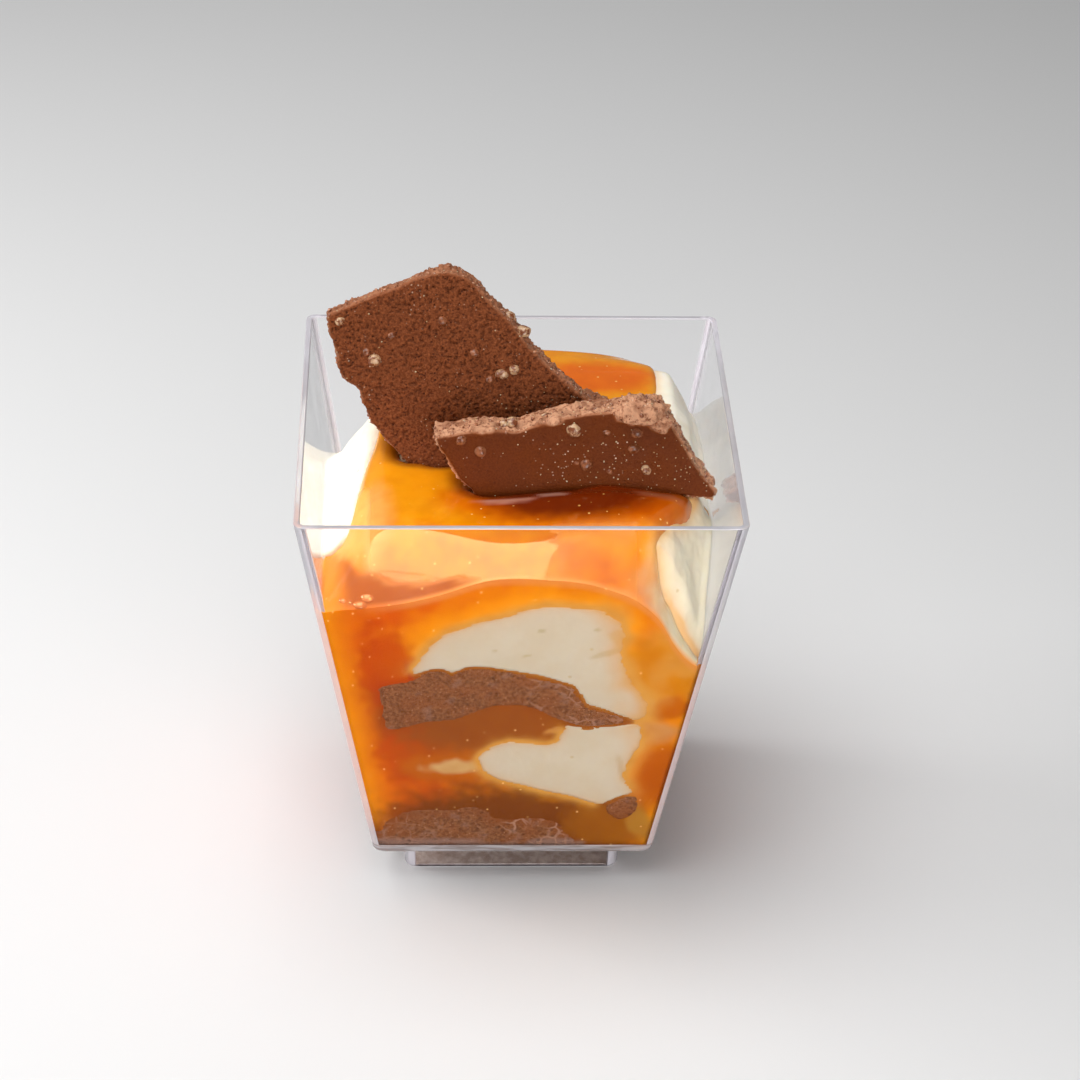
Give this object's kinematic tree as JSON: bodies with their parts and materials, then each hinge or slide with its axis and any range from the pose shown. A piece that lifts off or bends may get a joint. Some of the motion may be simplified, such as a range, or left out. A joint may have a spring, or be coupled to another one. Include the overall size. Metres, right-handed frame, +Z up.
{
  "type": "cheesecake cup",
  "caption": "Clear tapered square cup on a hollow foot, filled with biscuit, cream and caramel layers and topped with broken chocolate slabs.",
  "frame": {"origin": "centre of the bounding box's underside: on the surface the cup stands on, under the middle of the cup", "axes": "+Z up along the cup's middle line; -Y towards the wall the picture looks at, +X to the picture's right"},
  "size_m": [0.06, 0.06, 0.0859],
  "materials": {
    "clear_plastic": "clear moulded polystyrene, glossy",
    "caramel": "glossy thick caramel sauce",
    "cream": "smooth set cheesecake cream",
    "biscuit": "baked crumb, sauce-soaked",
    "chocolate": "dull milk chocolate with pale nibs"
  },
  "bodies": {
    "root": {"cup": "clear_plastic", "caramel": "caramel", "cream_upper": "cream", "cream_lower": "cream", "biscuit_middle": "biscuit", "biscuit_base": "biscuit", "biscuit_chip": "biscuit", "slab_back": "chocolate", "slab_front": "chocolate"}
  },
  "joints": []
}
